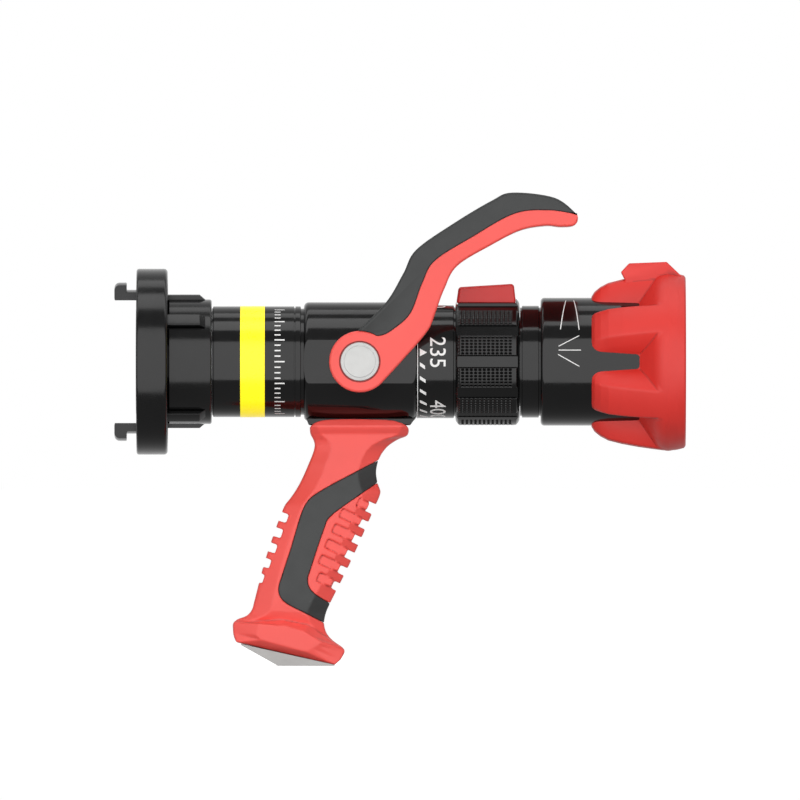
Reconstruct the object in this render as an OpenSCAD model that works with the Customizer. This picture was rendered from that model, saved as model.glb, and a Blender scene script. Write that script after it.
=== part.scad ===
// Pistol-grip fog and jet nozzle for fire hose: a twin-lug hose coupling, a ball valve worked
// by a bail lever, a ring that sets the flow, and a twist sleeve that shapes the spray.
// Lengths are in millimetres. X runs along the flow and Z is up. The origin is the centre of
// the coupling's front face. Angles round the barrel start at the -Y side, pass over the top
// and go on to the +Y side. Radial running clearances are 0.05 to 0.1.

/* [Coupling] */
// Radius of the lug ring's rim
rim_r = 50; // [49:0.5:52]
// Length of the rim along the flow
rim_len = 16.7; // [16:0.1:18]
// Distance between the inner faces of the two lugs
lug_spacing = 66; // [65.8:0.1:66.2]
// How far the lugs stand out in front of the face
lug_reach = 11.9; // [11:0.1:13]
// Radius of the bore that the water enters by
inlet_r = 22; // [21.6:0.1:22.4]
// Gripping ribs in each of the hub's two groups
hub_ribs = 3; // [1:1:3]

/* [Inlet tube and valve body] */
// Outer radius of the inlet tube
tube_r = 29.8; // [29.5:0.1:30.2]
// Width of the coloured band
band_w = 13.2; // [8:0.1:14]
// Outer radius of the valve body
body_r = 32; // [31.5:0.1:32.5]
// Half the distance between the flats that the lever's arms lie against
flat_y = 29.8; // [29.6:0.1:30]
// Radius of the valve ball
ball_r = 23.5; // [23:0.1:23.8]
// Radius of the hole through the ball
ball_bore_r = 16.5; // [15:0.5:16.5]

/* [Lever] */
// Thickness of each arm
arm_t = 8; // [6:0.5:10]
// Radius of the hub round the pivot
lever_hub_r = 16.5; // [15.5:0.1:17]
// Radius of the pivot's cover cap
cap_r = 10.4; // [9:0.1:10.6]

/* [Barrel] */
// Outer radius of the flow scale ring
scale_r = 30.4; // [30:0.1:31]
// Outer radius of the knurled flow ring
flow_ring_r = 34.4; // [33.8:0.1:35]
// Number of knurled pads round the flow ring
flow_pads = 12; // [8:1:12]
// Height of the flow ring's pointer tab above the pads
tab_h = 7.5; // [4:0.5:9]
// Width of the pointer tab across the barrel
tab_w = 25; // [12:0.5:25]
// Outer radius of the front barrel
neck_r = 30.1; // [30:0.1:30.2]

/* [Pattern sleeve] */
// Outer radius of the twist sleeve
sleeve_r = 34.4; // [34:0.1:35]
// Largest radius of the rubber bumper
bumper_r = 48; // [46:0.5:50]
// Number of slots between the bumper's teeth
bumper_slots = 6; // [4:1:8]
// Number of spinning teeth
teeth = 24; // [16:1:30]

/* [Grip] */
// Width of the grip
grip_w = 32; // [28:0.5:34]
// Finger notches down the front edge
front_notches = 6; // [4:1:6]
// Palm notches down the rear edge
rear_notches = 5; // [3:1:5]

/* [Hidden] */
$fn = 72;
eps = 0.01;
// Radial clearances: turning fits, sliding fits, and fixed pieces in their seats.
turn_gap = 0.08;
slide_gap = 0.1;
seat_gap = 0.05;

// Stations along the flow
seal_x = -0.3;
flange_x = 5;
tail_end_x = 40.9;
tube_x = 41.2;
band_x = 55.8;
tube_end_x = 88.4;
body_x = 90;
spigot_end_x = 100;
pivot_x = 120.1;
body_end_x = 150.5;
scale_end_x = 170.7;
flow_x = 171.5;
flow_end_x = 206;
sleeve_x = 217.3;
bumper_x = 244.7;
sleeve_end_x = 288;
mouth_x = 295.3;
baffle_x = 274;

// Coupling
tail_r = 27;
hub_r = 33.5;
rib_h = 2.7;
channel_r = [lug_spacing / 2 - 0.2, rim_r - 4.5];
plate_x = 5.5;
lug_root_r = lug_spacing / 2;
lug_neck_r = lug_root_r + 5.7;
lug_hook_r = lug_root_r + 9.8;
lug_hook_x = -5.3;
lug_span = 31;
window_span = 40;

// Valve
chamber_r = 25.5;
seat_r = chamber_r - 0.1;
stem_r = 7;
bush_r = 9;
arm_y = flat_y + 0.4;
arm_end_y = arm_y + arm_t;
cap_pocket = 2.2;
body_flange = 2.7;

// Barrel and sleeve
barrel_r = 27;
barrel_bore_r = 20.5;
spigot_r = 24;
shaper_r = [neck_r + slide_gap, neck_r + 1.5];
key_x = 240;
key_travel = 12;
rod_r = 5;

// Grip: its axis leans back from the vertical and meets the body under the pivot
grip_lean = 20;
boss_z = -34.2;
boss_y = 9;
foot_z = -163.5;
bolt_r = 4;
notch_len = 5.6;

// ---- Shared shapes ----

// Points of an arc about (x, r), from angle a0 to angle a1
function arc(x, r, rad, a0, a1, steps = 6) =
    [for (i = [0:steps]) let (a = a0 + (a1 - a0) * i / steps) [x + rad * cos(a), r + rad * sin(a)]];

// One point of a smooth curve between b and c, with a and d as its neighbours
function curve_point(a, b, c, d, t) =
    0.5 * (2 * b + (c - a) * t + (2 * a - 5 * b + 4 * c - d) * t * t + (3 * b - a - 3 * c + d) * t * t * t);

// A smooth curve through a list of points
function smooth(p, steps = 4) = let (n = len(p) - 1)
    concat([for (i = [0:n - 1], s = [0:steps - 1])
        curve_point(p[max(i - 1, 0)], p[i], p[i + 1], p[min(i + 2, n)], s / steps)], [p[n]]);

function reversed(p) = [for (i = [len(p) - 1:-1:0]) p[i]];

// Solid of revolution about the flow axis; each point is [x, radius]
module turned(points) {
    rotate([0, 90, 0]) rotate_extrude() polygon([for (p = points) [p[1], p[0]]]);
}

// The same, but only across a span of degrees centred on an angle round the barrel
module swept(points, angle, span) {
    rotate([90 - angle, 0, 0]) rotate([0, 90, 0]) rotate([0, 0, 180 - span / 2])
        rotate_extrude(angle = span) polygon([for (p = points) [p[1], p[0]]]);
}

// Plain ring on the flow axis
module ring(x0, x1, r_out, r_in) {
    turned([[x0, r_in], [x0, r_out], [x1, r_out], [x1, r_in]]);
}

// Rubber ring of round section on the flow axis
module o_ring(x, r, wire_r) {
    turned(arc(x, r, wire_r, 0, 345, 23));
}

// Cylinder along the flow axis
module rod(x0, x1, r) {
    translate([x0, 0, 0]) rotate([0, 90, 0]) cylinder(r = r, h = x1 - x0);
}

// Cylinder pointing out of the barrel at an angle round it, from radius r0 to r1
module spoke(x, angle, r0, r1, r) {
    rotate([90 - angle, 0, 0]) translate([x, 0, r0]) cylinder(r = r, h = r1 - r0);
}

// Cylinder on the lever's pivot axis from y0 to y1, on both sides
module pivot_pair(y0, y1, r) {
    for (side = [-1, 1])
        translate([pivot_x, side * y0, 0]) rotate([-90 * side, 0, 0]) cylinder(r = r, h = y1 - y0);
}

// Ring on the lever's pivot axis, on both sides
module pivot_ring_pair(y0, y1, r_out, r_in) {
    difference() {
        pivot_pair(y0, y1, r_out);
        pivot_pair(y0 - 1, y1 + 1, r_in);
    }
}

// Outline in the XZ plane, made as wide as w across Y
module across(points, w) {
    translate([0, w / 2, 0]) rotate([90, 0, 0]) linear_extrude(w) polygon(points);
}

// ---- Coupling ----

module coupling_tail() {
    color("silver")
        turned([[0, inlet_r], [0, 24], [3, 24], [3, 29], [0, 29], [0, 30.5], [flange_x, 30.5],
            [flange_x, tail_r], [36.2, tail_r], [36.2, 25.7], [38.1, 25.7], [38.1, tail_r],
            [tail_end_x, tail_r], [tail_end_x, 25], [58, 25], [58, 20], [19.3, 20],
            [19.3, 21.2], [18, 21.2], [18, inlet_r]]);
}

module coupling_seal() {
    color("dimgray")
        turned([[seal_x, 25], [seal_x, 28.2], [0.3, 28.9], [2.95, 28.9], [2.95, 24.1], [0.3, 24.1]]);
}

module lug_ring() {
    rim_profile = concat([[0, 31], [0, rim_r - 1.1]],
        arc(1.1, rim_r - 1.1, 1.1, 180, 90, 3),
        [[rim_len - 1.5, rim_r], [rim_len, rim_r - 1.5], [rim_len, channel_r[1]],
        [plate_x, channel_r[1]], [plate_x, 31]]);
    lug_profile = concat([[2, lug_root_r], [-9, lug_root_r], [-lug_reach, lug_root_r + 3]],
        arc(1.6 - lug_reach, lug_hook_r - 1.6, 1.6, 180, 90, 4),
        [[lug_hook_x, lug_hook_r], [lug_hook_x, lug_neck_r], [2, lug_neck_r]]);
    color("dimgray") difference() {
        union() {
            turned(rim_profile);
            for (angle = [90, 270]) swept(lug_profile, angle, lug_span);
        }
        for (angle = [0, 180])
            swept([[-1, channel_r[0]], [-1, channel_r[1] - 1.5], [plate_x + eps, channel_r[1] - 1.5],
                [plate_x + eps, channel_r[0]]], angle, window_span);
    }
}

// Hub behind the lug ring, turned by its ribs
module ring_hub() {
    rib_profile = [[17.4, hub_r - 1], [17.4, hub_r + rib_h], [33.9, hub_r + rib_h],
        [37.4, hub_r], [37.4, hub_r - 1]];
    rib_span = 12;
    rib_step = 48;
    color("dimgray") union() {
        turned([[plate_x + 0.02, channel_r[0]], [rim_len + 0.5, channel_r[0]], [rim_len + 0.5, hub_r],
            [39.6, hub_r], [40.4, hub_r - 0.8], [40.4, 30.5], [36, 30.5],
            [36, tail_r + turn_gap], [plate_x + 0.02, tail_r + turn_gap]]);
        for (group = [87, 255], i = [1:hub_ribs])
            swept(rib_profile, group + rib_step * (i - (hub_ribs + 1) / 2), rib_span);
    }
}

module snap_ring() {
    color("silver") difference() {
        ring(36.3, 38, 29.6, 25.8);
        translate([36, -2, 20]) cube([3, 4, 12]);
    }
}

module debris_screen() {
    color("silver") difference() {
        rod(18.02, 19.25, 21.15);
        rod(17, 20, 1.7);
        for (row = [1:3], i = [1:6 * row])
            rotate([i * 60 / row, 0, 0]) translate([17, 0, 5.6 * row]) rotate([0, 90, 0])
                cylinder(r = 1.7, h = 3);
    }
}

// ---- Inlet tube ----

module inlet_tube() {
    band_end_x = band_x + band_w;
    color("dimgray")
        turned([[tube_x, tube_r - 0.8], [tube_x + 0.8, tube_r], [band_x, tube_r],
            [band_x, tube_r - 1.2], [band_end_x, tube_r - 1.2], [band_end_x, tube_r],
            [84.8, tube_r], [84.8, tube_r - 0.7], [85.5, tube_r - 0.7], [85.5, tube_r],
            [tube_end_x - 0.5, tube_r], [tube_end_x, tube_r - 0.5], [tube_end_x, 27],
            [body_x, 27], [body_x, spigot_r], [93, spigot_r], [93, 22.3], [95.4, 22.3],
            [95.4, spigot_r], [spigot_end_x, spigot_r], [spigot_end_x, 17], [58.2, 19.8],
            [58.2, 25 + seat_gap], [tube_x, 25 + seat_gap]]);
}

module colour_band() {
    color("yellow") ring(band_x + 0.02, band_x + band_w - 0.02, tube_r + 0.1, tube_r - 1.18);
}

module inlet_seal() {
    color("dimgray") o_ring(94.2, 23.16, 0.84);
}

// ---- Valve ----

// Line that the grip's bolt follows, from the body down through the grip
module along_grip() {
    translate([pivot_x, 0, -33]) rotate([0, grip_lean, 0]) children();
}

module valve_body() {
    shell = concat([[body_x, chamber_r + 1]],
        arc(body_x + body_flange, body_r - body_flange, body_flange, 180, 90),
        arc(body_end_x - body_flange, body_r - body_flange, body_flange, 90, 0),
        [[body_end_x, chamber_r], [spigot_end_x, chamber_r], [spigot_end_x, spigot_r + seat_gap],
        [body_x, spigot_r + seat_gap]]);
    color("dimgray") difference() {
        union() {
            intersection() {
                turned(shell);
                translate([body_x - 1, -flat_y, -body_r])
                    cube([body_end_x - body_x + 2, 2 * flat_y, 2 * body_r]);
            }
            difference() {
                across([[90.2, -24], [90.2, -28], [92.7, boss_z], [147.2, boss_z],
                    [150.2, -30.2], [150.2, -24]], 2 * boss_y);
                rod(body_x - 1, body_end_x + 1, chamber_r + 2);
            }
        }
        pivot_pair(20, body_r, bush_r + seat_gap);
        along_grip() translate([0, 0, -6]) cylinder(r = bolt_r + seat_gap, h = 10.5);
    }
}

// Seat ring, hollowed to the ball, facing the ball from x0 to x1
module seat_ring(x0, x1) {
    color("ivory") difference() {
        ring(x0, x1, seat_r, 18);
        translate([pivot_x, 0, 0]) sphere(r = ball_r + slide_gap);
    }
}

module inlet_seat() {
    seat_ring(spigot_end_x + 0.3, 110);
}

module outlet_seat() {
    seat_ring(130.2, 139.9);
}

module seat_spring() {
    color("silver") turned([[140, 25.2], [140.8, 25.2], [141.9, 20.5], [141.1, 20.5]]);
}

module valve_ball() {
    color("silver") difference() {
        translate([pivot_x, 0, 0]) sphere(r = ball_r);
        translate([pivot_x, 0, -30]) cylinder(r = ball_bore_r, h = 60);
        pivot_pair(18.6, 30, stem_r + seat_gap);
    }
}

module valve_stems() {
    color("silver") difference() {
        pivot_pair(18.7, arm_end_y - cap_pocket, stem_r);
        pivot_pair(27, arm_end_y, 2.5 + seat_gap);
        pivot_ring_pair(23.9, 25.1, stem_r + 1, 5.95);
    }
}

module stem_seals() {
    color("dimgray") for (side = [-1, 1])
        translate([pivot_x, side * 24.5, 0]) rotate([90, 0, 0])
            rotate_extrude() polygon(arc(6.48, 0, 0.47, 0, 345, 23));
}

module stem_bushes() {
    color("gold") difference() {
        union() {
            pivot_pair(25.7, flat_y + 0.05, bush_r);
            pivot_pair(flat_y + 0.05, flat_y + 0.3, bush_r + 1.5);
        }
        pivot_pair(25, flat_y + 1, stem_r + turn_gap);
    }
}

// ---- Lever ----

lever_front = smooth([[131.9, -11.5], [141.4, -1.2], [151.2, 9.8], [155.3, 14.8], [158.2, 19.2],
    [160.9, 26.6], [165.5, 39], [172.5, 51.6], [190.8, 62.8], [206.2, 70.5], [219.6, 73],
    [232, 72.6], [237.1, 76.5]]);
lever_seam = smooth([[119.8, 14.5], [131.1, 13.9], [139.5, 18.4], [147.6, 26.5], [153.7, 42.2],
    [160.5, 54.2], [180.5, 66.9], [203.1, 79.4], [221.7, 81.3], [236.9, 79]]);
lever_back = smooth([[118.7, 16.4], [134.2, 31.9], [143.4, 47.3], [150.3, 60], [170.2, 74.1],
    [190.8, 86.4], [202.1, 90.8], [224.8, 88], [236.9, 79]]);

// Keeps the arms and the crossbar of a lever outline, and clears the gap between the arms
module lever_shape(outline) {
    difference() {
        across(outline, 2 * arm_end_y);
        translate([110, -arm_y, -40]) cube([84, 2 * arm_y, 150]);
        translate([190, 8 - arm_y, -40]) cube([12, 2 * arm_y - 16, 150]);
        for (side = [-1, 1]) translate([194, side * (arm_y - 8), -40]) cylinder(r = 8, h = 150);
    }
}

module lever_frame() {
    color("red") difference() {
        union() {
            lever_shape(concat(lever_front, reversed(lever_seam)));
            pivot_pair(arm_y, arm_end_y, lever_hub_r);
        }
        pivot_pair(arm_y - 1, arm_end_y + 1, stem_r + seat_gap);
        pivot_pair(arm_end_y - cap_pocket, arm_end_y + 1, cap_r + 0.8);
    }
}

module lever_pad() {
    color("dimgray") difference() {
        lever_shape(concat(lever_seam, reversed(lever_back)));
        pivot_pair(arm_y - 1, arm_end_y + 1, lever_hub_r + 0.02);
    }
}

module lever_screws() {
    head_y = arm_end_y - cap_pocket + 0.05;
    color("silver") difference() {
        union() {
            pivot_pair(27.5, head_y, 2.5);
            pivot_pair(head_y, head_y + 1.6, 4.6);
        }
        pivot_pair(head_y + 0.6, head_y + 2, 1.6);
    }
}

module lever_caps() {
    cap_y = arm_end_y - cap_pocket;
    color("gainsboro") difference() {
        union() {
            pivot_pair(cap_y + 0.05, arm_end_y + 0.2, cap_r);
            pivot_pair(arm_end_y + 0.2, arm_end_y + 0.6, cap_r - 0.8);
        }
        pivot_pair(cap_y - 1, cap_y + 1.9, 5);
    }
}

// ---- Barrel ----

module outlet_barrel() {
    color("dimgray") difference() {
        turned([[142, chamber_r - 0.1], [145, chamber_r - 0.1], [145, 23.6], [147.4, 23.6],
            [147.4, chamber_r - 0.1], [body_end_x, chamber_r - 0.1], [body_end_x, barrel_r],
            [flow_end_x, barrel_r], [flow_end_x, spigot_r], [218, spigot_r],
            [218, barrel_bore_r], [168, barrel_bore_r], [168, 18], [142, 18]]);
        spoke(188, 270, 22, 30, 2.1);
    }
}

module barrel_seal() {
    color("dimgray") o_ring(146.2, 24.5, 0.88);
}

module flow_scale_ring() {
    color("dimgray")
        turned([[body_end_x + 0.1, barrel_r + 0.03], [body_end_x + 0.1, scale_r - 0.4],
            [body_end_x + 0.5, scale_r], [scale_end_x - 0.4, scale_r], [scale_end_x, scale_r - 0.4],
            [scale_end_x, barrel_r + 0.03]]);
}

module detent_ball() {
    color("silver") rotate([180, 0, 0]) translate([188, 0, 26.2]) sphere(r = 2);
}

module detent_spring() {
    color("silver") rotate([180, 0, 0]) translate([188, 0, 22.05]) rotate_extrude()
        polygon(concat([for (i = [0:4]) [2 - 0.3 * (i % 2), 0.5 * i]],
            [for (i = [4:-1:0]) [1.4 - 0.3 * (i % 2), 0.5 * i]]));
}

module flow_ring() {
    groove_pitch = 3.07;
    grooves = 10;
    pad_x = flow_x + 1.9;
    knurl = [for (i = [0:grooves - 1]) let (x = pad_x + groove_pitch * i)
        for (p = [[0, -1.5], [0.7, 0], [groove_pitch - 0.7, 0], [groove_pitch, -1.5]])
            [x + p[0], flow_ring_r + p[1]]];
    pad_end_x = pad_x + groove_pitch * grooves;
    color("dimgray") difference() {
        turned(concat([[flow_x, barrel_r + turn_gap], [flow_x, 30.5]], knurl,
            [[flow_end_x, 30.5], [flow_end_x, barrel_r + turn_gap], [190.2, barrel_r + turn_gap],
            [190.2, 28.6], [185.8, 28.6], [185.8, barrel_r + turn_gap]]));
        for (i = [0:flow_pads - 1])
            swept([[pad_x - 3, 33], [pad_x - 3, 40], [pad_end_x + 3, 40], [pad_end_x + 3, 33],
                [pad_end_x, 32], [pad_x, 32]], i * 360 / flow_pads, 10.5);
        translate([172.1, -tab_w / 2 - 0.1, 30.9]) cube([31.9, tab_w + 0.2, 10]);
    }
}

module flow_tab() {
    top = flow_ring_r + tab_h;
    color("firebrick")
        across([[172.2, 31], [172.2, 33], [173.3, top - 3], [174.4, top - 1.8], [199.8, top],
            [201.8, top - 1], [203.9, 33], [203.9, 31]], tab_w);
}

module front_barrel() {
    color("dimgray") difference() {
        turned([[206.3, spigot_r + seat_gap], [206.3, 29.2], [207.3, 29.2], [207.3, neck_r],
            [216.3, neck_r], [216.3, 29.2], [217.3, 29.2], [217.3, neck_r], [261, neck_r],
            [261, 28.4], [263, 28.4], [263, neck_r], [268, neck_r], [268, 28], [276, 24],
            [276, 22], [262, 20], [218.2, 20], [218.2, spigot_r + seat_gap]]);
        for (angle = [0, 180]) spoke(key_x, angle, 26, 34, 2 + seat_gap);
    }
}

module guide_pins() {
    color("silver") for (angle = [0, 180]) spoke(key_x, angle, 26.1, shaper_r[1] - 0.1, 2);
}

module shaper_seal() {
    color("dimgray") o_ring(262, 29.27, 0.8);
}

// ---- Stem and baffle ----

module stem_guide() {
    color("silver") difference() {
        union() {
            ring(168.05, 180, barrel_bore_r - 0.05, 18);
            ring(168.05, 180, 8.4, 6);
            for (i = [0:2]) rotate([i * 120, 0, 0]) translate([168.05, -1.5, 7]) cube([11.95, 3, 12]);
        }
        rod(160, 190, 6 + seat_gap);
    }
}

module guide_bush() {
    color("gold") difference() {
        union() {
            rod(167.9, 181, 6);
            rod(166.8, 167.9, 7.6);
        }
        rod(160, 190, rod_r + turn_gap);
    }
}

module baffle_stem() {
    color("silver") difference() {
        union() {
            rod(154, 280, rod_r);
            turned([[151, 0], [151, 1.5], [154, rod_r], [154, 0]]);
        }
        rod(266, 281, 2.5 + seat_gap);
    }
}

module baffle() {
    color("silver")
        turned([[baffle_x, rod_r], [baffle_x, 8], [278, 10], [281, 21.4], [282, 22], [285.5, 22],
            [287, 20.5], [287, 19], [285.6, 17], [285, 12], [285, 2.6], [280, 2.6], [280, rod_r]]);
}

module baffle_screw() {
    color("silver") difference() {
        union() {
            rod(267, 285.05, 2.5);
            turned([[285.05, 0], [285.05, 6.5], [287.6, 6.5], [288.2, 5.9], [288.2, 0]]);
        }
        translate([286, 0, 0]) rotate([0, 90, 0]) cylinder(r = 3, h = 4, $fn = 6);
    }
}

// ---- Pattern sleeve ----

module stream_shaper() {
    color("dimgray") difference() {
        turned([[232, shaper_r[0]], [232, shaper_r[1]], [293, shaper_r[1]], [293, shaper_r[0]],
            [292.2, shaper_r[0]], [292.2, 30.9], [291, 30.9], [291, shaper_r[0]],
            [284, shaper_r[0]], [284, 28.6], [282.5, 28.6], [281.5, shaper_r[0]]]);
        for (angle = [0, 180]) {
            spoke(key_x, angle, 29, 34, 2.2);
            spoke(key_x + key_travel, angle, 29, 34, 2.2);
            rotate([90 - angle, 0, 0]) translate([key_x, -2.2, 29]) cube([key_travel, 4.4, 5]);
        }
    }
}

module spinning_teeth() {
    color("dimgray") union() {
        ring(284.1, 290.9, shaper_r[0] - slide_gap, 28.2);
        for (i = [0:teeth - 1])
            rotate([i * 360 / teeth, 0, 0]) translate([285, -1.2, 25.6]) cube([5.5, 2.4, 3.2]);
    }
}

module teeth_retainer() {
    color("silver") difference() {
        ring(291.05, 292.15, 30.85, 28.8);
        translate([290, -2, -32]) cube([3, 4, 5]);
    }
}

module pattern_sleeve() {
    color("dimgray")
        turned(concat([[sleeve_x, neck_r + slide_gap]],
            arc(sleeve_x + 3, sleeve_r - 3, 3, 180, 90),
            [[sleeve_end_x, sleeve_r], [sleeve_end_x, shaper_r[1] + turn_gap],
            [231.7, shaper_r[1] + turn_gap], [231.7, neck_r + slide_gap]]));
}

// One slot in the bumper, at the top: a floor that shows the sleeve, between flared walls
module bumper_slot(bore_r) {
    floor_half = [10, 6.9, 4.7, 3];
    floor_x = [bumper_x - 4, bumper_x, 268, 270.4];
    wall_half = [7, 14.5];
    linear_extrude(60)
        polygon(concat([for (i = [0:3]) [floor_x[i], -floor_half[i]]],
            [for (i = [3:-1:0]) [floor_x[i], floor_half[i]]]));
    intersection() {
        rotate([90, 0, 90]) linear_extrude(300)
            polygon([[-wall_half[0], bore_r - 2], [-wall_half[1], bumper_r], [wall_half[1], bumper_r],
                [wall_half[0], bore_r - 2]]);
        across([[bumper_x, 0], [bumper_x, bumper_r - 9], [256, bumper_r + 6], [283, bumper_r + 2],
            [270, bore_r]], 40);
    }
}

module bumper() {
    bore_r = sleeve_r + 0.03;
    pointer_w = 19;
    outer = smooth([[bumper_x, bore_r + 0.9], [249, bumper_r - 8.6], [253.7, bumper_r - 5.6],
        [261.2, bumper_r - 4], [278.6, bumper_r - 0.9], [286, bumper_r],
        [292, bumper_r - 0.7], [294.5, bumper_r - 1.7]], 3);
    color("red") difference() {
        union() {
            turned(concat([[bumper_x, bore_r]], outer, [[mouth_x, bumper_r - 2.7],
                [mouth_x, 36], [293.5, 33], [290, 32], [sleeve_end_x + 0.05, 32],
                [sleeve_end_x + 0.05, bore_r]]));
            intersection() {
                translate([255, -pointer_w / 2, 30]) cube([45, pointer_w, 40]);
                turned([[258, 40], [260.8, bumper_r], [261.6, bumper_r + 3.2], [264.9, bumper_r + 4.9],
                    [285.1, bumper_r + 5.7], [292.5, bumper_r - 1.5], [292.5, 40]]);
            }
        }
        for (i = [0:bumper_slots - 1])
            rotate([90 - i * 360 / bumper_slots, 0, 0]) bumper_slot(bore_r);
    }
}

// ---- Grip ----

// Notched edge of the grip: it starts at a point and runs down a line that leans back, and each
// notch is shallower than the one above it by the taper
function notched_edge(start, lean, pitch, depth, taper, side, n) =
    let (down = [-sin(lean), -cos(lean)], inward = [-side * cos(lean), side * sin(lean)])
    [for (i = [0:n - 1], p = [[0, 0], [0.3, 1], [notch_len - 0.3, 1], [notch_len, 0]])
        start + down * (pitch * i + p[0]) + inward * (depth - taper * i) * p[1]];

collar_top = smooth([[93, -36.4], [93.4, -35], [95.4, -33.2], [98.6, -31.9], [104, -31.1],
    [116.5, -30.8], [134.5, -31.3], [140.5, -32.3], [145.2, -34.4], [146.6, -37]], 2);
grip_front = concat(
    smooth([[146.2, -38.6], [144.6, -40.3], [140.5, -41.9], [135.6, -45.1], [132.7, -48.3],
        [130.8, -51.5], [129.6, -54.8], [128.9, -59], [129.2, -62.8], [130, -66.3],
        [131.2, -69.6], [130.6, -72.6]], 2),
    notched_edge([128.6, -76.9], 25, 9.1, 4.6, 0.5, 1, front_notches),
    smooth([[105.9, -126.5], [103.8, -130.6], [101.8, -135.5], [100.9, -140.3], [101.4, -143.9],
        [102.8, -146.9], [105.7, -150], [110.9, -153.8]], 2),
    [[112.1, -155.4], [111.6, -157.5], [109.9, -160]]);
grip_rear = concat([[53.4, -150.7], [52, -146], [51.7, -141], [52.6, -139.2], [58.3, -137],
    [61, -134.7], [62.7, -131.3]],
    reversed(notched_edge([78.4, -80.8], 18.2, 8.9, 3.6, 0.57, -1, rear_notches)),
    smooth([[79.7, -77.4], [82.1, -74.1], [85.6, -69.3], [89.2, -62.8], [93.3, -53.2],
        [95.2, -48.3], [95.8, -45], [95.3, -42], [93.8, -39.5]], 2));
foot_cut = [[106.6, -162.9], [56.3, -151.3]];
insert_outline = concat(smooth([[131, -53.7], [121.7, -57.6], [104.4, -66.7], [93.8, -73],
        [87.1, -86.9], [83.2, -100.3], [76.5, -119.6], [78.9, -129.2], [90.9, -135.4],
        [105, -142.5]], 3),
    smooth([[106, -131.5], [102.9, -129.6], [93.8, -122.9], [92.4, -115.7], [96.7, -102.3],
        [102.4, -86.9], [112, -77.3], [124.5, -68.6], [133, -64]], 3));

front_half = concat([[150, -35]], grip_front, [[50, -160], [50, -35]]);

// Rounded section of the grip, half_len fore and aft and half_w across, along the grip's axis
module grip_section(half_len, half_w, z0, z1) {
    power = 2.6;
    steps = 44;
    along_grip() translate([0, 0, z0]) linear_extrude(z1 - z0)
        polygon([for (i = [0:steps - 1]) let (a = 360 * i / steps)
            [half_len * sign(cos(a)) * pow(abs(cos(a)), 2 / power),
             half_w * sign(sin(a)) * pow(abs(sin(a)), 2 / power)]]);
}

// Room that the grip's solids may fill: a collar at the top, the handle and the foot
module grip_room() {
    grip_section(27, grip_w / 2, -112, 10);
    grip_section(43, grip_w / 2 - 0.5, -145, -102);
    translate([92, 0.5 - grip_w / 2, -46]) cube([56, grip_w - 1, 20]);
}

module insert_room() {
    difference() {
        intersection() {
            across(insert_outline, 60);
            grip_section(27.3, grip_w / 2 + 0.3, -112, 0);
        }
        intersection() {
            grip_section(30, grip_w / 2 - 3, -130, 0);
            translate([-3, 0, 0]) across(front_half, 60);
        }
    }
}

module grip_shell() {
    color("red") difference() {
        intersection() {
            across(concat(collar_top, grip_front, foot_cut, grip_rear), 60);
            grip_room();
        }
        insert_room();
        for (side = [-1, 1]) translate([90, 0, 0]) rotate([90, 0, 90]) linear_extrude(60)
            polygon([[side * 9.8, -30.6], [side * 17, -35.8], [side * 17, -25], [side * 9.8, -25]]);
        translate([90, -boss_y - 0.1, boss_z - 0.1]) cube([60, 2 * boss_y + 0.2, 10]);
        along_grip() translate([0, 0, -140]) cylinder(r = bolt_r + seat_gap, h = 150);
        along_grip() translate([0, 0, -150]) cylinder(r = 8.5, h = 34);
    }
}

module grip_insert() {
    color("dimgray") intersection() {
        insert_room();
        across(front_half, 60);
    }
}

module grip_bolt() {
    color("silver") difference() {
        along_grip() {
            translate([0, 0, -117.5]) cylinder(r = bolt_r, h = 121.5);
            translate([0, 0, -122]) cylinder(r = 6.5, h = 4.5 + eps);
        }
        along_grip() translate([0, 0, -123]) cylinder(r = 3.4, h = 4, $fn = 6);
    }
}

module grip_washer() {
    color("silver") along_grip() difference() {
        translate([0, 0, -117.45]) cylinder(r = 8.2, h = 1.4);
        translate([0, 0, -120]) cylinder(r = bolt_r + seat_gap, h = 8);
    }
}

module grip_end_cap() {
    color("silver") intersection() {
        across(concat(reversed(foot_cut), [[106.3, foot_z], [77, foot_z], [56.8, -152.2]]), 60);
        grip_section(43, grip_w / 2 - 0.5, -160, -90);
    }
}

coupling_tail();
coupling_seal();
lug_ring();
ring_hub();
snap_ring();
debris_screen();
inlet_tube();
colour_band();
inlet_seal();
valve_body();
inlet_seat();
outlet_seat();
seat_spring();
valve_ball();
valve_stems();
stem_seals();
stem_bushes();
lever_frame();
lever_pad();
lever_screws();
lever_caps();
outlet_barrel();
barrel_seal();
flow_scale_ring();
detent_ball();
detent_spring();
flow_ring();
flow_tab();
front_barrel();
guide_pins();
shaper_seal();
stem_guide();
guide_bush();
baffle_stem();
baffle();
baffle_screw();
stream_shaper();
spinning_teeth();
teeth_retainer();
pattern_sleeve();
bumper();
grip_shell();
grip_insert();
grip_bolt();
grip_washer();
grip_end_cap();
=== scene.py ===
import math

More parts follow.
